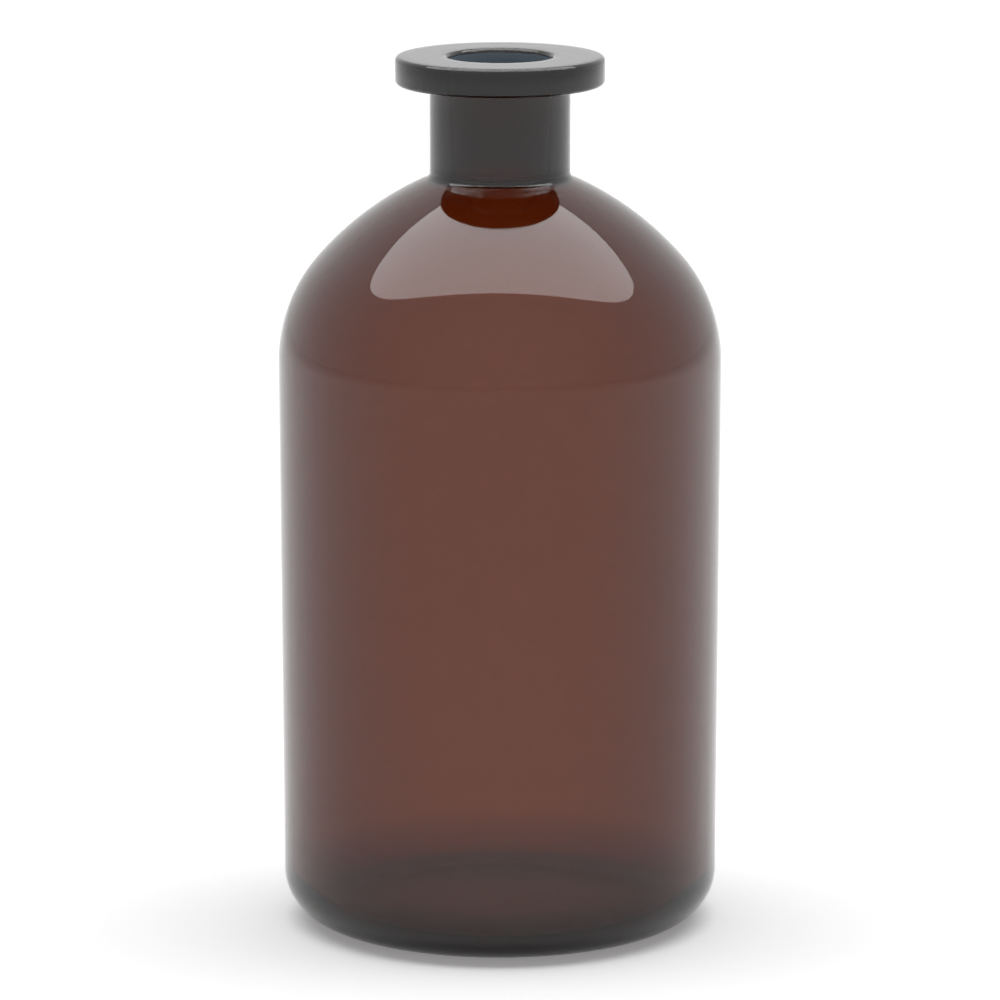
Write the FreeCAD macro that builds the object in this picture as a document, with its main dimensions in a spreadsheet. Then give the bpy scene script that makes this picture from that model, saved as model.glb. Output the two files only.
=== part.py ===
"""Reservoir bottle of an automatic burette: one blown amber glass bottle of 2 litres.

The glass is one piece. Its section is turned about the Z axis: a foot ring with a shallow
push-up inside it, a rounded heel, a side wall that widens a little towards the top, a two-arc
shoulder, a straight neck and a flat flange. The mouth is a ground socket that takes a 29/32 joint.
Millimetres, +Z up, origin at the middle of the foot ring.
"""

import FreeCAD, Part
import math
import os

import Sketcher

NODE = "reservoir_bottle"

# Driving dimensions: alias, value in millimetres or degrees, what it measures
SIZES = (
    ("body_diameter", 124.0, "outside of the side wall at the shoulder"),
    ("base_diameter", 122.3, "outside of the side wall at the heel"),
    ("shoulder_height", 160.0, "foot ring to the start of the shoulder"),
    ("shoulder_radius", 44.0, "outside arc from the side wall into the shoulder"),
    ("shoulder_angle", 41.0, "degrees of the shoulder's arc, where the crown's arc takes over"),
    ("crown_radius", 88.5, "outside arc from there up to the neck"),
    ("heel_radius", 14.5, "outside arc from the foot ring into the side wall"),
    ("foot_width", 3.5, "flat ring that the bottle stands on"),
    ("push_up", 0.7, "rise of the underside inside the foot ring"),
    ("wall", 3.0, "side wall and shoulder"),
    ("floor_thickness", 4.5, "floor above the foot ring"),
    ("inner_heel_radius", 12.5, "inside arc from the floor into the side wall"),
    ("neck_diameter", 39.2, "outside of the neck"),
    ("flange_diameter", 58.4, "outside of the flange"),
    ("flange_thickness", 8.0, "height of the flange"),
    ("socket_diameter", 29.2, "wide end of the ground taper"),
    ("socket_length", 32.0, "depth of the ground taper from the top face"),
    ("taper_ratio", 10.0, "length in which the taper narrows by 1 mm in diameter"),
    ("throat_diameter", 25.6, "plain bore below the ground taper"),
    ("throat_length", 2.35, "height of that bore, from the shoulder's inside to the taper"),
    ("neck_fillet", 1.8, "fillet at the foot of the neck and under the flange"),
    ("flange_top_edge", 0.7, "rounding of the flange's top edge"),
    ("flange_low_edge", 1.4, "rounding of the flange's lower edge"),
    ("mouth_edge", 1.2, "rounding of the mouth"),
    ("throat_edge", 2.5, "rounding where the throat opens into the body"),
)

doc = FreeCAD.newDocument("reservoir_bottle_model")
sheet = doc.addObject("Spreadsheet::Sheet", "Sizes")
for row, (alias, value, meaning) in enumerate(SIZES, start=1):
    sheet.set(f"A{row}", meaning)
    sheet.set(f"B{row}", str(value))
    sheet.setAlias(f"B{row}", alias)
doc.recompute()
size = {alias: float(getattr(sheet, alias)) for alias, _, _ in SIZES}

body = doc.addObject("PartDesign::Body", NODE)
body.Label = NODE
upright = next(f for f in body.Origin.OriginFeatures if f.Role == "XZ_Plane")

# A sketch's own axes, and the places on a line or an arc, as constraints number them
ACROSS, UP = -1, -2
FIRST, LAST, CENTRE = 1, 2, 3


def line(start, end):
    """A straight edge, with the places where it is entered and left."""
    return Part.LineSegment(FreeCAD.Vector(*start, 0), FreeCAD.Vector(*end, 0)), FIRST, LAST


def arc(centre, radius, start, end):
    """A round edge from one angle to another, in degrees, with the same two places."""
    circle = Part.Circle(FreeCAD.Vector(*centre, 0), FreeCAD.Vector(0, 0, 1), radius)
    low, high = sorted((math.radians(start), math.radians(end)))
    places = (FIRST, LAST) if end > start else (LAST, FIRST)
    return (Part.ArcOfCircle(circle, low, high), *places)


def bearing(centre, point):
    """Angle in degrees of the way from centre to point."""
    return math.degrees(math.atan2(point[1] - centre[1], point[0] - centre[0]))


def closed_sketch(name, edges, smooth):
    """Sketch of a closed outline. The edges named in smooth run on into the next with no corner."""
    sketch = body.newObject("Sketcher::SketchObject", name)
    sketch.AttachmentSupport = [(upright, "")]
    sketch.MapMode = "FlatFace"
    for shape, _, _ in edges:
        sketch.addGeometry(shape, False)
    for number, (_, _, leave) in enumerate(edges):
        following = (number + 1) % len(edges)
        kind = "Tangent" if number in smooth else "Coincident"
        enter = edges[following][1]
        sketch.addConstraint(Sketcher.Constraint(kind, number, leave, following, enter))
    return sketch


def measure(sketch, name, kind, places, expression):
    """A dimension of the sketch that follows the sheet."""
    value = sketch.evalExpression(expression)
    index = sketch.addConstraint(Sketcher.Constraint(kind, *places, float(value)))
    sketch.renameConstraint(index, name)
    sketch.setExpression(f"Constraints.{name}", expression)


def align(sketch, kind, *edges):
    """Makes edges Horizontal or Vertical."""
    for edge in edges:
        sketch.addConstraint(Sketcher.Constraint(kind, edge))


def on_axis(sketch, edge, place, axis=UP):
    """Puts one place of an edge on an axis of the sketch."""
    sketch.addConstraint(Sketcher.Constraint("PointOnObject", edge, place, axis))


def turned(kind, name, sketch):
    """A solid of revolution of the sketch about Z: a Revolution adds it, a Groove cuts it."""
    feature = body.newObject(kind, name)
    feature.Profile = sketch
    feature.ReferenceAxis = (sketch, ["V_Axis"])
    feature.Angle = 360.0
    doc.recompute()
    return feature


ORIGIN = (ACROSS, FIRST)
body_radius = size["body_diameter"] / 2
base_radius = size["base_diameter"] / 2
shoulder_centre = (body_radius - size["shoulder_radius"], size["shoulder_height"])
beyond_shoulder = size["crown_radius"] - size["shoulder_radius"]
crown_start = size["shoulder_angle"]
crown_centre = (
    shoulder_centre[0] - beyond_shoulder * math.cos(math.radians(crown_start)),
    shoulder_centre[1] - beyond_shoulder * math.sin(math.radians(crown_start)),
)
CROWN_SET_BACK = "(Sizes.crown_radius - Sizes.shoulder_radius) * cos(Sizes.shoulder_angle * 1 deg)"

# Inside: floor, inner heel, side wall, shoulder and the plain bore through the neck
inner_body = body_radius - size["wall"]
inner_base = base_radius - size["wall"]
throat_radius = size["throat_diameter"] / 2
floor_up = size["floor_thickness"]
inner_heel = (inner_base - size["inner_heel_radius"], floor_up + size["inner_heel_radius"])
inner_shoulder = size["shoulder_radius"] - size["wall"]
inner_crown = size["crown_radius"] - size["wall"]
vault_end = math.degrees(math.acos((throat_radius - crown_centre[0]) / inner_crown))
throat_foot = crown_centre[1] + inner_crown * math.sin(math.radians(vault_end))
socket_foot = throat_foot + size["throat_length"]
total_height = socket_foot + size["socket_length"]

FLOOR, INNER_HEEL, INNER_SIDE, INNER_SHOULDER, VAULT, THROAT, BORE_TOP, BORE_AXIS = range(8)
cavity = closed_sketch(
    "cavity_section",
    (
        line((0, floor_up), (inner_heel[0], floor_up)),
        arc(inner_heel, size["inner_heel_radius"], -90, 0),
        line((inner_base, inner_heel[1]), (inner_body, size["shoulder_height"])),
        arc(shoulder_centre, inner_shoulder, 0, crown_start),
        arc(crown_centre, inner_crown, crown_start, vault_end),
        line((throat_radius, throat_foot), (throat_radius, total_height)),
        line((throat_radius, total_height), (0, total_height)),
        line((0, total_height), (0, floor_up)),
    ),
    smooth=(FLOOR, INNER_HEEL, INNER_SIDE, INNER_SHOULDER),
)
align(cavity, "Horizontal", FLOOR, BORE_TOP)
align(cavity, "Vertical", THROAT)
on_axis(cavity, BORE_AXIS, FIRST)
on_axis(cavity, BORE_AXIS, LAST)
for name, kind, place, expression in (
    ("floor_up", "DistanceY", (FLOOR, FIRST), "Sizes.floor_thickness"),
    (
        "inner_heel_across",
        "DistanceX",
        (INNER_HEEL, CENTRE),
        "Sizes.base_diameter / 2 - Sizes.wall - Sizes.inner_heel_radius",
    ),
    (
        "inner_shoulder_across",
        "DistanceX",
        (INNER_SHOULDER, CENTRE),
        "Sizes.body_diameter / 2 - Sizes.shoulder_radius",
    ),
    ("inner_shoulder_up", "DistanceY", (INNER_SHOULDER, CENTRE), "Sizes.shoulder_height"),
    ("throat_across", "DistanceX", (THROAT, FIRST), "Sizes.throat_diameter / 2"),
):
    measure(cavity, name, kind, ORIGIN + place, expression)
for name, kind, places, expression in (
    ("inner_heel_arc", "Radius", (INNER_HEEL,), "Sizes.inner_heel_radius"),
    ("inner_shoulder_arc", "Radius", (INNER_SHOULDER,), "Sizes.shoulder_radius - Sizes.wall"),
    ("vault_arc", "Radius", (VAULT,), "Sizes.crown_radius - Sizes.wall"),
    ("vault_set_back", "DistanceX", (VAULT, CENTRE, INNER_SHOULDER, CENTRE), CROWN_SET_BACK),
    (
        "bore_rise",
        "DistanceY",
        (THROAT, FIRST, THROAT, LAST),
        "Sizes.throat_length + Sizes.socket_length",
    ),
):
    measure(cavity, name, kind, places, expression)

# The top face stands as high as the throat and the socket bring it
top_face = cavity.addConstraint(
    Sketcher.Constraint("DistanceY", *ORIGIN, BORE_TOP, FIRST, total_height)
)
cavity.setDriving(top_face, False)
cavity.renameConstraint(top_face, "top_up")
doc.recompute()
TOP_UP = "cavity_section.Constraints.top_up"

# Outside: foot, heel, side wall, shoulder, neck and flange
neck_radius = size["neck_diameter"] / 2
flange_radius = size["flange_diameter"] / 2
crown_end = math.degrees(math.acos((neck_radius - crown_centre[0]) / size["crown_radius"]))
crown_top = crown_centre[1] + size["crown_radius"] * math.sin(math.radians(crown_end))
neck_root = (neck_radius, crown_top)
flange_under = total_height - size["flange_thickness"]
heel_centre = (base_radius - size["heel_radius"], size["heel_radius"])
foot_inside = heel_centre[0] - size["foot_width"]
rise = size["push_up"]
dish_radius = (foot_inside**2 + rise**2) / (2 * rise)
dish_centre = (0, rise - dish_radius)

PUSH_UP, FOOT, HEEL, SIDE, SHOULDER, CROWN, NECK, FLANGE_UNDER, FLANGE_SIDE, TOP, AXIS = range(11)
outside = closed_sketch(
    "outside_section",
    (
        arc(dish_centre, dish_radius, 90, bearing(dish_centre, (foot_inside, 0))),
        line((foot_inside, 0), (heel_centre[0], 0)),
        arc(heel_centre, size["heel_radius"], -90, 0),
        line((base_radius, size["heel_radius"]), (body_radius, size["shoulder_height"])),
        arc(shoulder_centre, size["shoulder_radius"], 0, crown_start),
        arc(crown_centre, size["crown_radius"], crown_start, crown_end),
        line(neck_root, (neck_radius, flange_under)),
        line((neck_radius, flange_under), (flange_radius, flange_under)),
        line((flange_radius, flange_under), (flange_radius, total_height)),
        line((flange_radius, total_height), (0, total_height)),
        line((0, total_height), (0, rise)),
    ),
    smooth=(FOOT, HEEL, SIDE, SHOULDER),
)
align(outside, "Horizontal", FOOT, FLANGE_UNDER, TOP)
align(outside, "Vertical", NECK, FLANGE_SIDE)
on_axis(outside, PUSH_UP, CENTRE)
on_axis(outside, AXIS, FIRST)
on_axis(outside, AXIS, LAST)
on_axis(outside, FOOT, FIRST, ACROSS)
for name, kind, place, expression in (
    ("dish_rise", "DistanceY", (AXIS, LAST), "Sizes.push_up"),
    (
        "foot_inside",
        "DistanceX",
        (FOOT, FIRST),
        "Sizes.base_diameter / 2 - Sizes.heel_radius - Sizes.foot_width",
    ),
    ("heel_across", "DistanceX", (HEEL, CENTRE), "Sizes.base_diameter / 2 - Sizes.heel_radius"),
    (
        "shoulder_across",
        "DistanceX",
        (SHOULDER, CENTRE),
        "Sizes.body_diameter / 2 - Sizes.shoulder_radius",
    ),
    ("shoulder_up", "DistanceY", (SHOULDER, CENTRE), "Sizes.shoulder_height"),
    ("neck_across", "DistanceX", (NECK, FIRST), "Sizes.neck_diameter / 2"),
    ("flange_across", "DistanceX", (FLANGE_SIDE, FIRST), "Sizes.flange_diameter / 2"),
    ("top_up", "DistanceY", (TOP, FIRST), TOP_UP),
):
    measure(outside, name, kind, ORIGIN + place, expression)
for name, kind, places, expression in (
    ("heel_arc", "Radius", (HEEL,), "Sizes.heel_radius"),
    ("shoulder_arc", "Radius", (SHOULDER,), "Sizes.shoulder_radius"),
    ("crown_arc", "Radius", (CROWN,), "Sizes.crown_radius"),
    ("crown_set_back", "DistanceX", (CROWN, CENTRE, SHOULDER, CENTRE), CROWN_SET_BACK),
    (
        "flange_rise",
        "DistanceY",
        (FLANGE_SIDE, FIRST, FLANGE_SIDE, LAST),
        "Sizes.flange_thickness",
    ),
):
    measure(outside, name, kind, places, expression)

turned("PartDesign::Revolution", "outside", outside)
turned("PartDesign::Groove", "cavity", cavity)

# Mouth: the ground taper, wide at the top face
socket_radius = size["socket_diameter"] / 2
socket_end = socket_radius - size["socket_length"] / size["taper_ratio"] / 2
SOCKET_TOP, TAPER, SOCKET_FOOT, SOCKET_AXIS = range(4)
socket = closed_sketch(
    "socket_section",
    (
        line((0, total_height), (socket_radius, total_height)),
        line((socket_radius, total_height), (socket_end, socket_foot)),
        line((socket_end, socket_foot), (0, socket_foot)),
        line((0, socket_foot), (0, total_height)),
    ),
    smooth=(),
)
align(socket, "Horizontal", SOCKET_TOP, SOCKET_FOOT)
on_axis(socket, SOCKET_AXIS, FIRST)
on_axis(socket, SOCKET_AXIS, LAST)
for name, kind, place, expression in (
    ("socket_across", "DistanceX", (TAPER, FIRST), "Sizes.socket_diameter / 2"),
    ("socket_up", "DistanceY", (TAPER, FIRST), TOP_UP),
    (
        "socket_end_across",
        "DistanceX",
        (TAPER, LAST),
        "Sizes.socket_diameter / 2 - Sizes.socket_length / Sizes.taper_ratio / 2",
    ),
    ("socket_end_up", "DistanceY", (TAPER, LAST), f"{TOP_UP} - Sizes.socket_length * 1 mm"),
):
    measure(socket, name, kind, ORIGIN + place, expression)
turned("PartDesign::Groove", "ground_socket", socket)


def rims(largest, lowest):
    """Round edges about the axis, up to a radius and from a height, as (name, radius, height)."""
    found = []
    for number, edge in enumerate(body.Tip.Shape.Edges, start=1):
        if not edge.Degenerated and edge.isClosed() and isinstance(edge.Curve, Part.Circle):
            radius = edge.Curve.Radius
            height = edge.Curve.Center.z
            if radius <= largest and height >= lowest:
                found.append((f"Edge{number}", radius, height))
    return found


def rounded(name, rim, alias):
    """Fillet of one round edge, with its radius from the sheet."""
    carrier = body.Tip
    fillet = body.newObject("PartDesign::Fillet", name)
    fillet.Base = (carrier, [rim[0]])
    fillet.setExpression("Radius", f"Sizes.{alias}")
    doc.recompute()


def nearest_rim(radius, height):
    """The round edge at a radius and height that the sizes give."""
    return min(rims(body_radius, 0), key=lambda rim: math.dist(rim[1:], (radius, height)))


throat_rim = min(rims(neck_radius - 1, size["shoulder_height"]), key=lambda rim: rim[2])
rounded("throat_rounding", throat_rim, "throat_edge")
rounded("neck_foot_fillet", nearest_rim(*neck_root), "neck_fillet")
rounded("flange_under_fillet", nearest_rim(neck_radius, flange_under), "neck_fillet")
rounded("flange_low_rounding", nearest_rim(flange_radius, flange_under), "flange_low_edge")
rounded("flange_top_rounding", nearest_rim(flange_radius, total_height), "flange_top_edge")
rounded("mouth_rounding", nearest_rim(socket_radius, total_height), "mouth_edge")

failed = [item.Name for item in doc.Objects if {"Invalid", "Error"} & set(item.State)]
if failed:
    raise RuntimeError(f"these objects did not compute: {failed}")
if body.Shape.isNull() or not body.Shape.isValid() or len(body.Shape.Solids) != 1:
    raise RuntimeError("the bottle is not one sound solid")

os.makedirs("parts", exist_ok=True)
body.Shape.exportStep(os.path.join("parts", f"{body.Label}.step"))
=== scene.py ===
"""Looks of an amber reservoir bottle: one blown glass piece with a ground mouth.

The glass is drawn as a half section and turned about the Z axis. It stands on a pale floor in a
white studio, under one wide soft box. Metres, +Z up.
"""

import math

import bpy
from bpy.props import FloatProperty, FloatVectorProperty, IntProperty, PointerProperty
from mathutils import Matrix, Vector


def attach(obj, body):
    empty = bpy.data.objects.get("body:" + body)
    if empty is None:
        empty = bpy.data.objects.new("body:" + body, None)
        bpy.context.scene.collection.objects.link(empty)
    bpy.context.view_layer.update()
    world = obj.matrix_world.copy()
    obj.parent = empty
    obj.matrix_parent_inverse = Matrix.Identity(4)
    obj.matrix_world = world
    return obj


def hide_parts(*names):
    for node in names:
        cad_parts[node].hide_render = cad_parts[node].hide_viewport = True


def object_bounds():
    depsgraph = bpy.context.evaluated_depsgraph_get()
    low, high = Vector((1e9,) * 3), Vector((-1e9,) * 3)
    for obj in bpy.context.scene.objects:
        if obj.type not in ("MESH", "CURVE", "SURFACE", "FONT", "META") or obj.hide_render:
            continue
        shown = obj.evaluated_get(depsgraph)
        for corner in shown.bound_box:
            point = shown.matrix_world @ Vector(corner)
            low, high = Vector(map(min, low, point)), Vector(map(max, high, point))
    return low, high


bl_info = {
    "name": "Amber reservoir bottle",
    "version": (1, 0, 0),
    "blender": (4, 5, 0),
    "location": "3D View > Sidebar > Bottle",
    "description": "Blown amber glass bottle with a ground mouth, in a plain studio",
    "category": "Add Mesh",
}

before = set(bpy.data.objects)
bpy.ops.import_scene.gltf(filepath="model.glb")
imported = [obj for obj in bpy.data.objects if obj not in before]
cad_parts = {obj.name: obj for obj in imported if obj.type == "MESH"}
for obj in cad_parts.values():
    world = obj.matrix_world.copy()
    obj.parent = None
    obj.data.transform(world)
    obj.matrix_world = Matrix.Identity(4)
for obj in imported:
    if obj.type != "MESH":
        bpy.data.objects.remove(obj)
CAD_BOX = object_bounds()

BODY = "root"
NODE = "reservoir_bottle"
MM = 0.001
WHITE = (1.0, 1.0, 1.0)
FLOOR_GAP = 0.05 * MM

# The camera stands where the photograph was taken from, and looks down at the bottle
CAMERA_PLACE = (0.0, -1.8937, 0.5046)
CAMERA_DIP = math.radians(11.483)
CAMERA_LENS = 247.4
SENSOR_WIDTH = 36.0

# Bounces of light, enough for a ray to pass all the walls of the glass
BOUNCES = 32
MIRRORED_BOUNCES = 24


def length(name, description, millimetres):
    """A size of the bottle, given in millimetres and kept in metres."""
    return FloatProperty(
        name=name,
        description=description,
        default=millimetres * MM,
        min=0.0,
        unit="LENGTH",
        subtype="DISTANCE",
        precision=5,
    )


def tint(name, description, value):
    """A colour of the bottle or the studio."""
    return FloatVectorProperty(
        name=name,
        description=description,
        default=value,
        min=0.0,
        soft_max=1.0,
        size=3,
        subtype="COLOR",
    )


class BottleShape(bpy.types.PropertyGroup):
    """Sizes of the bottle's section."""

    body_diameter: length("Body", "Outside of the side wall at the shoulder", 124.0)
    base_diameter: length("Base", "Outside of the side wall at the heel", 122.3)
    shoulder_height: length("Shoulder height", "Floor to the start of the shoulder", 160.0)
    shoulder_radius: length("Shoulder arc", "Outside arc from the side wall", 44.0)
    shoulder_angle: FloatProperty(
        name="Shoulder angle",
        description="Turn of the shoulder's arc before the crown's arc",
        default=math.radians(41.0),
        unit="ROTATION",
    )
    crown_radius: length("Crown arc", "Outside arc up to the neck", 88.5)
    heel_radius: length("Heel arc", "Outside arc from the foot ring", 14.5)
    foot_width: length("Foot ring", "Width of the ring that the bottle stands on", 3.5)
    push_up: length("Push-up", "Rise of the underside inside the foot ring", 0.7)
    wall: length("Wall", "Thickness of the side wall and shoulder", 3.0)
    floor_thickness: length("Floor", "Height of the inside floor", 4.5)
    inner_heel_radius: length("Inner heel arc", "Inside arc from the floor", 12.5)
    neck_diameter: length("Neck", "Outside of the neck", 39.2)
    flange_diameter: length("Flange", "Outside of the flange", 58.4)
    flange_thickness: length("Flange thickness", "Height of the flange", 8.0)
    socket_diameter: length("Socket", "Wide end of the ground taper", 29.2)
    socket_length: length("Socket length", "Depth of the ground taper", 32.0)
    socket_taper: FloatProperty(
        name="Socket taper", description="Narrowing of the diameter over the length", default=0.1
    )
    throat_diameter: length("Throat", "Plain bore below the ground taper", 25.6)
    throat_length: length("Throat length", "Height of the plain bore", 2.35)
    neck_fillet: length("Neck fillet", "Fillet at both ends of the neck", 1.8)
    flange_top_edge: length("Flange top edge", "Rounding of the flange's top edge", 1.3)
    flange_low_edge: length("Flange low edge", "Rounding of the flange's lower edge", 1.4)
    mouth_edge: length("Mouth edge", "Rounding of the mouth", 1.2)
    throat_edge: length("Throat edge", "Rounding where the throat opens", 2.5)
    turns: IntProperty(
        name="Turns", description="Faces around the bottle", default=288, min=48, max=320
    )


class GlassFinish(bpy.types.PropertyGroup):
    """Colour and finish of the glass."""

    amber: tint("Amber", "Colour of the light that the glass lets through", (0.66, 0.42, 0.21))
    depth: FloatProperty(
        name="Depth", description="Strength of the glass's colour, per metre", default=1150.0
    )
    ior: FloatProperty(name="IOR", description="Refractive index", default=1.52)
    # Blue-grey of the ground taper: partly its grey ground finish, partly painted shade and a
    # painted cool reflection that keep the neck dark slate
    ground_tint_and_painted_shade: tint("Ground tint", "Colour of the ground taper", (0.26, 0.33, 0.4))
    ground_roughness: FloatProperty(
        name="Ground finish",
        description="Roughness of the ground taper",
        default=0.34,
        min=0.0,
        max=1.0,
        subtype="FACTOR",
    )
    ground_scatter: FloatProperty(
        name="Ground scatter",
        description="Share of the light that the ground taper scatters",
        default=0.6,
        min=0.0,
        max=1.0,
        subtype="FACTOR",
    )
    score_depth: length("Scoring", "Depth of the fine scoring in the ground taper", 0.2)


class StudioLight(bpy.types.PropertyGroup):
    """Levels and colours of the studio."""

    plain_level: FloatProperty(
        name="Plain level", description="World light on matt surfaces", default=0.15
    )
    floor_white: tint("Floor", "Colour of the pale floor", (0.9, 0.9, 0.9))
    floor_fill: FloatProperty(
        name="Floor fill", description="White added to the floor near the bottle", default=0.24
    )
    far_fill: FloatProperty(
        name="Far fill", description="White added to the floor far from the bottle", default=0.8
    )
    lamp_power: FloatProperty(
        name="Lamp", description="Power of the soft box", default=19.5, unit="POWER"
    )
    lamp_width: length("Lamp width", "Width of the soft box", 2400.0)
    lamp_depth: length("Lamp depth", "Front to back of the soft box", 1100.0)
    lamp_height: length("Lamp height", "Floor to the soft box", 1150.0)
    fill_start: length("Fill start", "Radius where the floor's fill starts to grow", 150.0)
    fill_end: length("Fill end", "Radius where the floor's fill is full", 1600.0)
    floor_size: length("Floor size", "Side of the floor", 12000.0)


def look_at_nothing():
    """Leaves edit mode and deselects everything."""
    if bpy.context.object and bpy.context.object.mode != "OBJECT":
        bpy.ops.object.mode_set(mode="OBJECT")
    bpy.ops.object.select_all(action="DESELECT")


class Section:
    """A chain of points in the XZ plane. Each stroke extrudes the last point."""

    def __init__(self, name, across, up):
        look_at_nothing()
        bpy.ops.mesh.primitive_plane_add(size=0.01)
        self.piece = bpy.context.object
        self.piece.name = name
        self.piece.data.name = name
        bpy.ops.object.mode_set(mode="EDIT")
        bpy.ops.mesh.select_mode(type="VERT")
        bpy.ops.mesh.select_all(action="SELECT")
        bpy.ops.mesh.merge(type="CENTER")
        bpy.ops.transform.translate(value=(across, 0.0, up))
        self.across = across
        self.up = up

    def line(self, across, up, steps=1):
        """A straight run to a point."""
        step = ((across - self.across) / steps, 0.0, (up - self.up) / steps)
        for _ in range(steps):
            bpy.ops.mesh.extrude_vertices_move(TRANSFORM_OT_translate={"value": step})
        self.across = across
        self.up = up

    def arc(self, across, up, turn, steps):
        """A round run about a centre. A turn above zero, in radians, goes anticlockwise."""
        bpy.ops.mesh.spin(
            steps=steps, angle=turn, center=(across, 0.0, up), axis=(0.0, 1.0, 0.0)
        )
        start = math.atan2(self.up - up, self.across - across)
        radius = math.hypot(self.up - up, self.across - across)
        self.across = across + radius * math.cos(start + turn)
        self.up = up + radius * math.sin(start + turn)

    def round_corner(self, across, up, radius, steps):
        """Rounds the corner nearest to a point."""
        bpy.ops.object.mode_set(mode="OBJECT")
        mesh = self.piece.data
        for point in mesh.vertices:
            point.select = False
        for edge in mesh.edges:
            edge.select = False
        place = Vector((across, 0.0, up))
        corner = min(mesh.vertices, key=lambda point: (point.co - place).length)
        ways = []
        for edge in mesh.edges:
            if corner.index in edge.vertices:
                other = sum(edge.vertices) - corner.index
                ways.append(mesh.vertices[other].co - corner.co)
        corner.select = True
        bpy.ops.object.mode_set(mode="EDIT")
        bpy.ops.mesh.bevel(
            offset_type="OFFSET",
            offset=radius / math.tan(ways[0].angle(ways[1]) / 2),
            segments=steps,
            profile=0.5,
            affect="VERTICES",
            clamp_overlap=False,
        )

    def turned(self, turns):
        """The closed piece that the section makes when it is turned about Z."""
        bpy.ops.mesh.select_all(action="SELECT")
        bpy.ops.mesh.spin(
            steps=turns, angle=math.tau, center=(0.0, 0.0, 0.0), axis=(0.0, 0.0, 1.0)
        )
        bpy.ops.mesh.select_all(action="SELECT")
        bpy.ops.mesh.remove_doubles(threshold=0.000002)
        bpy.ops.mesh.normals_make_consistent(inside=False)
        bpy.ops.object.mode_set(mode="OBJECT")
        return self.piece


def draw_section(shape):
    """The bottle's half section, from the middle of the underside round to the inside floor."""
    body = shape.body_diameter / 2
    base = shape.base_diameter / 2
    neck = shape.neck_diameter / 2
    flange = shape.flange_diameter / 2
    throat = shape.throat_diameter / 2
    socket = shape.socket_diameter / 2
    socket_end = socket - shape.socket_length * shape.socket_taper / 2
    shoulder = (body - shape.shoulder_radius, shape.shoulder_height)
    beyond = shape.crown_radius - shape.shoulder_radius
    turn = shape.shoulder_angle
    crown = (shoulder[0] - beyond * math.cos(turn), shoulder[1] - beyond * math.sin(turn))
    crown_end = math.acos((neck - crown[0]) / shape.crown_radius)
    vault = shape.crown_radius - shape.wall
    vault_end = math.acos((throat - crown[0]) / vault)
    throat_foot = crown[1] + vault * math.sin(vault_end)
    socket_foot = throat_foot + shape.throat_length
    top = socket_foot + shape.socket_length
    flange_under = top - shape.flange_thickness
    heel = base - shape.heel_radius
    foot = heel - shape.foot_width
    dish = (foot**2 + shape.push_up**2) / (2 * shape.push_up)
    inner_base = base - shape.wall
    inner_heel = inner_base - shape.inner_heel_radius
    inner_heel_up = shape.floor_thickness + shape.inner_heel_radius
    quarter = math.pi / 2

    section = Section("reservoir_bottle_glass", 0.0, shape.push_up)
    section.arc(0.0, shape.push_up - dish, -math.asin(foot / dish), 16)
    section.line(heel, 0.0, 2)
    section.arc(heel, shape.heel_radius, quarter, 24)
    section.line(body, shape.shoulder_height, 16)
    section.arc(*shoulder, turn, 24)
    section.arc(*crown, crown_end - turn, 18)
    neck_foot = section.up
    section.line(neck, flange_under, 5)
    section.line(flange, flange_under, 3)
    section.line(flange, top, 2)
    section.line(socket, top, 4)
    section.line(socket_end, socket_foot, 8)
    section.line(throat, socket_foot)
    section.line(throat, throat_foot)
    section.arc(*crown, turn - vault_end, 20)
    section.arc(*shoulder, -turn, 24)
    section.line(inner_base, inner_heel_up, 16)
    section.arc(inner_heel, inner_heel_up, -quarter, 24)
    section.line(0.0, shape.floor_thickness, 30)

    section.round_corner(neck, neck_foot, shape.neck_fillet, 6)
    section.round_corner(neck, flange_under, shape.neck_fillet, 8)
    section.round_corner(flange, flange_under, shape.flange_low_edge, 8)
    section.round_corner(flange, top, shape.flange_top_edge, 6)
    section.round_corner(socket, top, shape.mouth_edge, 8)
    section.round_corner(throat, throat_foot, shape.throat_edge, 8)
    return section


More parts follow.
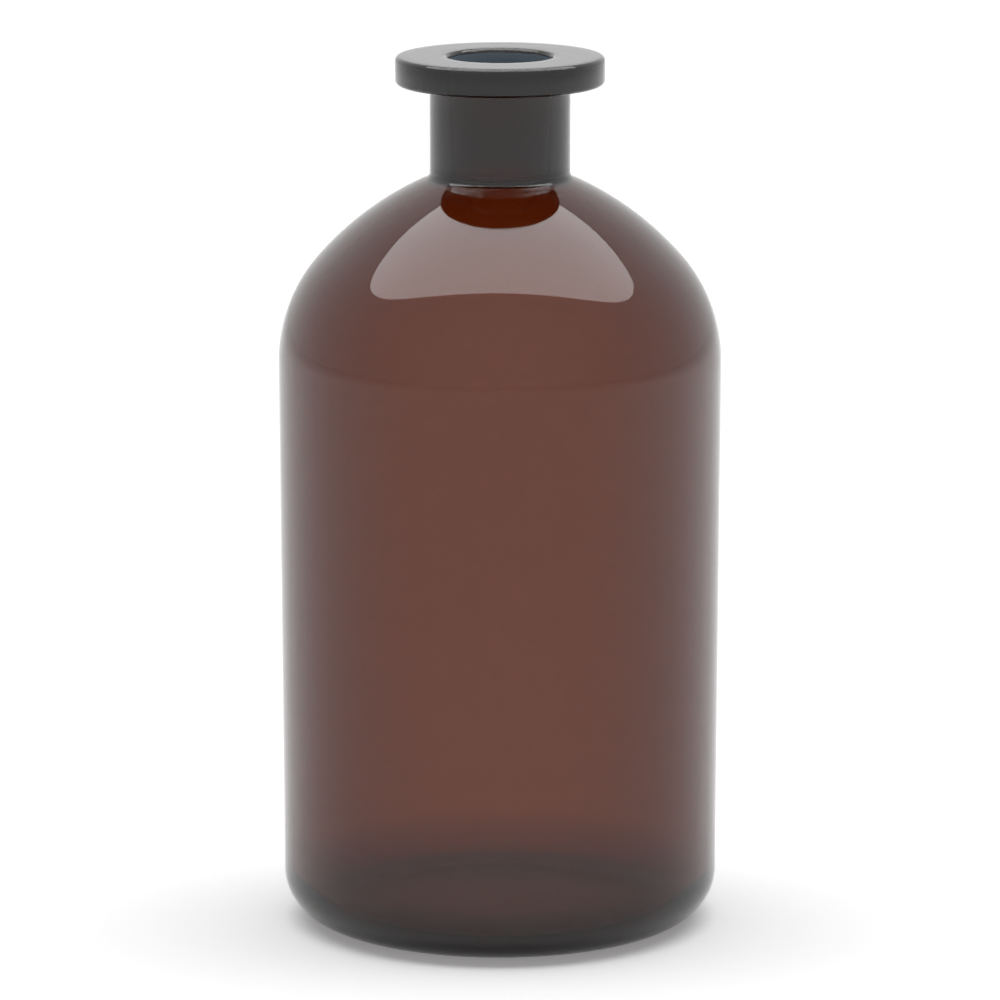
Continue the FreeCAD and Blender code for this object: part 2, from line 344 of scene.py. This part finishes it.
class Tree:
    """Adds nodes to a node tree and joins them."""

    def __init__(self, tree):
        self.tree = tree
        tree.nodes.clear()

    def add(self, kind, **inputs):
        """A node with its inputs set to values or joined to other nodes' outputs."""
        node = self.tree.nodes.new(kind)
        for name, value in inputs.items():
            self.feed(node.inputs[name.replace("_", " ")], value)
        return node

    def feed(self, socket, value):
        """Sets an input, or joins it to an output."""
        if isinstance(value, bpy.types.NodeSocket):
            self.tree.links.new(value, socket)
        elif value is not None:
            socket.default_value = value

    def math(self, operation, *values):
        """The result of a Math node."""
        node = self.tree.nodes.new("ShaderNodeMath")
        node.operation = operation
        for socket, value in zip(node.inputs, values):
            self.feed(socket, value)
        return node.outputs[0]

    def rise(self, value, low, high, to_low=0.0, to_high=1.0):
        """A smooth rise of value from one level to another."""
        node = self.tree.nodes.new("ShaderNodeMapRange")
        node.interpolation_type = "SMOOTHSTEP"
        settings = (value, low, high, to_low, to_high)
        for socket, setting in zip(node.inputs, settings):
            self.feed(socket, setting)
        return node.outputs[0]

    def blend(self, share, first, second):
        """A mix of two shaders."""
        node = self.tree.nodes.new("ShaderNodeMixShader")
        self.feed(node.inputs[0], share)
        self.feed(node.inputs[1], first)
        self.feed(node.inputs[2], second)
        return node.outputs[0]

    def mixed(self, share, first, second):
        """A mix of two colours."""
        node = self.tree.nodes.new("ShaderNodeMix")
        node.data_type = "RGBA"
        self.feed(node.inputs["Factor"], share)
        for socket, value in zip([s for s in node.inputs if s.type == "RGBA"], (first, second)):
            self.feed(socket, opaque(value))
        return next(s for s in node.outputs if s.type == "RGBA")

    def looked_at(self):
        """1 where the camera looks straight, or through or in glass or metal."""
        rays = self.add("ShaderNodeLightPath").outputs
        mirrored = self.math("MAXIMUM", rays["Is Glossy Ray"], rays["Is Transmission Ray"])
        return self.math("MAXIMUM", rays["Is Camera Ray"], mirrored)


def opaque(colour):
    """A colour with its alpha, or an output as it is."""
    if isinstance(colour, bpy.types.NodeSocket):
        return colour
    return (*colour[:3], 1.0)


# Fine scoring of the ground taper: its noise around and up the bore, its bump, and its least matt
SCORES_AROUND = 22.0
SCORES_UP = 12.0
SCORE_STRENGTH = 0.06
SMOOTHEST_GROUND = 0.3


def glass_material(shape, finish):
    """Clear amber glass, matt and finely scored in the ground taper, whose blue-grey colour and
    one-sided scatter are partly painted shade.
    """
    material = bpy.data.materials.new("blown_amber_glass")
    material.use_nodes = True
    nodes = Tree(material.node_tree)
    place = nodes.add("ShaderNodeTexCoord").outputs["Object"]
    axes = nodes.add("ShaderNodeSeparateXYZ", Vector=place)
    across, deep, up = axes.outputs
    radius = nodes.math(
        "SQRT", nodes.math("ADD", nodes.math("POWER", across, 2), nodes.math("POWER", deep, 2))
    )
    in_bore = nodes.math("LESS_THAN", radius, shape.socket_diameter / 2 + 0.2 * MM)
    top = CAD_BOX[1][2]
    above = nodes.math("GREATER_THAN", up, top - shape.socket_length)
    below = nodes.math("LESS_THAN", up, top - shape.mouth_edge)
    ground = nodes.math("MULTIPLY", in_bore, nodes.math("MULTIPLY", above, below))
    bearing = nodes.math("ARCTAN2", deep, across)
    scored = nodes.add(
        "ShaderNodeCombineXYZ",
        X=nodes.math("MULTIPLY", bearing, SCORES_AROUND),
        Y=nodes.math("MULTIPLY", up, SCORES_UP),
    ).outputs[0]
    lines = nodes.add("ShaderNodeTexNoise", Vector=scored, Scale=1.0, Detail=3.0, Roughness=0.6)
    roughness = nodes.rise(lines.outputs[0], 0.3, 0.7, SMOOTHEST_GROUND, finish.ground_roughness)
    matt = nodes.math("MULTIPLY", ground, roughness)
    grain = nodes.add(
        "ShaderNodeBump",
        Strength=nodes.math("MULTIPLY", ground, SCORE_STRENGTH),
        Distance=finish.score_depth,
        Height=lines.outputs[0],
    )
    # The taper is pale and scatters from the air side only, so that seen from outside through the
    # wall the neck stays clear, dark glass: painted shade on the neck
    from_glass = nodes.add("ShaderNodeNewGeometry").outputs["Backfacing"]
    pale = nodes.math("MULTIPLY", ground, nodes.math("SUBTRACT", 1.0, from_glass))
    scattered = nodes.math("MULTIPLY", pale, finish.ground_scatter)
    # The taper's base colour is its grey ground finish plus painted shade and a painted cool
    # reflection
    surface = nodes.add(
        "ShaderNodeBsdfPrincipled",
        Base_Color=nodes.mixed(pale, WHITE, finish.ground_tint_and_painted_shade),
        Roughness=matt,
        IOR=finish.ior,
        Normal=grain.outputs[0],
        Transmission_Weight=nodes.math("SUBTRACT", 1.0, scattered),
    )
    depth = nodes.add("ShaderNodeVolumeAbsorption")
    depth.inputs["Color"].default_value = opaque(finish.amber)
    depth.inputs["Density"].default_value = finish.depth
    nodes.add(
        "ShaderNodeOutputMaterial", Surface=surface.outputs[0], Volume=depth.outputs[0]
    )
    return material


class BOTTLE_OT_blow_glass(bpy.types.Operator):
    """Turns the bottle's section into one closed piece of glass"""

    bl_idname = "bottle.blow_glass"
    bl_label = "Bottle"

    def execute(self, context):
        shape = context.scene.bottle_shape
        piece = draw_section(shape).turned(shape.turns)
        piece.data.materials.clear()
        piece.data.materials.append(glass_material(shape, context.scene.bottle_glass))
        look_at_nothing()
        piece.select_set(True)
        context.view_layer.objects.active = piece
        bpy.ops.object.shade_smooth_by_angle(angle=math.radians(35))
        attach(piece, BODY)
        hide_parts(NODE)
        return {"FINISHED"}


def floor_material(light):
    """Pale matt floor. What looks at it straight, or through or in the glass, sees it white."""
    material = bpy.data.materials.new("pale_floor")
    material.use_nodes = True
    nodes = Tree(material.node_tree)
    matt = nodes.add("ShaderNodeBsdfDiffuse", Color=opaque(light.floor_white)).outputs[0]
    place = nodes.add("ShaderNodeTexCoord").outputs["Object"]
    radius = nodes.add("ShaderNodeVectorMath", Vector=place)
    radius.operation = "LENGTH"
    level = nodes.rise(
        radius.outputs["Value"], light.fill_start, light.fill_end, light.floor_fill, light.far_fill
    )
    fill = nodes.add(
        "ShaderNodeEmission", Strength=nodes.math("MULTIPLY", nodes.looked_at(), level)
    ).outputs[0]
    surface = nodes.add("ShaderNodeAddShader")
    nodes.feed(surface.inputs[0], matt)
    nodes.feed(surface.inputs[1], fill)
    nodes.add("ShaderNodeOutputMaterial", Surface=surface.outputs[0])
    return material


def studio_world(light):
    """Even light on everything, and a white background that the glass shows too."""
    world = bpy.data.worlds.new("studio")
    world.use_nodes = True
    nodes = Tree(world.node_tree)
    plain = nodes.add("ShaderNodeBackground", Strength=light.plain_level).outputs[0]
    white = nodes.add("ShaderNodeBackground", Strength=1.0).outputs[0]
    for shader in (plain, white):
        shader.node.inputs["Color"].default_value = opaque(WHITE)
    nodes.add("ShaderNodeOutputWorld", Surface=nodes.blend(nodes.looked_at(), plain, white))
    return world


class BOTTLE_OT_set_stage(bpy.types.Operator):
    """Adds the pale floor, the studio's light and the camera"""

    bl_idname = "bottle.set_stage"
    bl_label = "Studio"

    def execute(self, context):
        scene = context.scene
        light = scene.bottle_light
        look_at_nothing()
        bpy.ops.mesh.primitive_plane_add(size=light.floor_size, location=(0.0, 0.0, -FLOOR_GAP))
        floor = context.object
        floor.name = "pale_floor"
        floor.data.materials.append(floor_material(light))

        scene.world = studio_world(light)

        bpy.ops.object.light_add(type="AREA", location=(0.05, 0.12, light.lamp_height))
        lamp = context.object
        lamp.name = "soft_box"
        lamp.data.shape = "ELLIPSE"
        lamp.data.size = light.lamp_width
        lamp.data.size_y = light.lamp_depth
        lamp.data.energy = light.lamp_power
        lamp.visible_camera = False

        bpy.ops.object.camera_add(
            location=CAMERA_PLACE, rotation=(math.pi / 2 - CAMERA_DIP, 0.0, 0.0)
        )
        camera = context.object
        camera.name = "studio_camera"
        camera.data.lens = CAMERA_LENS
        camera.data.sensor_width = SENSOR_WIDTH
        camera.data.clip_end = 40.0
        scene.camera = camera

        scene.view_settings.view_transform = "Standard"
        scene.cycles.max_bounces = BOUNCES
        scene.cycles.glossy_bounces = MIRRORED_BOUNCES
        scene.cycles.transmission_bounces = BOUNCES
        return {"FINISHED"}


class BOTTLE_PT_panel(bpy.types.Panel):
    """Lists what makes the bottle and its studio"""

    bl_idname = "BOTTLE_PT_panel"
    bl_label = "Amber reservoir bottle"
    bl_space_type = "VIEW_3D"
    bl_region_type = "UI"
    bl_category = "Bottle"

    def draw(self, context):
        layout = self.layout
        layout.operator(BOTTLE_OT_blow_glass.bl_idname)
        layout.operator(BOTTLE_OT_set_stage.bl_idname)
        for group in (
            context.scene.bottle_shape,
            context.scene.bottle_glass,
            context.scene.bottle_light,
        ):
            box = layout.box()
            for name in group.__annotations__:
                box.prop(group, name)


CLASSES = (
    BottleShape,
    GlassFinish,
    StudioLight,
    BOTTLE_OT_blow_glass,
    BOTTLE_OT_set_stage,
    BOTTLE_PT_panel,
)


def register():
    """Registers the classes and puts their settings on the scene."""
    for item in CLASSES:
        bpy.utils.register_class(item)
    bpy.types.Scene.bottle_shape = PointerProperty(type=BottleShape)
    bpy.types.Scene.bottle_glass = PointerProperty(type=GlassFinish)
    bpy.types.Scene.bottle_light = PointerProperty(type=StudioLight)


def unregister():
    """Takes the settings and the classes away again."""
    del bpy.types.Scene.bottle_light
    del bpy.types.Scene.bottle_glass
    del bpy.types.Scene.bottle_shape
    for item in reversed(CLASSES):
        bpy.utils.unregister_class(item)


def main():
    """Makes the bottle and its studio."""
    register()
    bpy.ops.bottle.blow_glass()
    bpy.ops.bottle.set_stage()


if __name__ == "__main__":
    main()
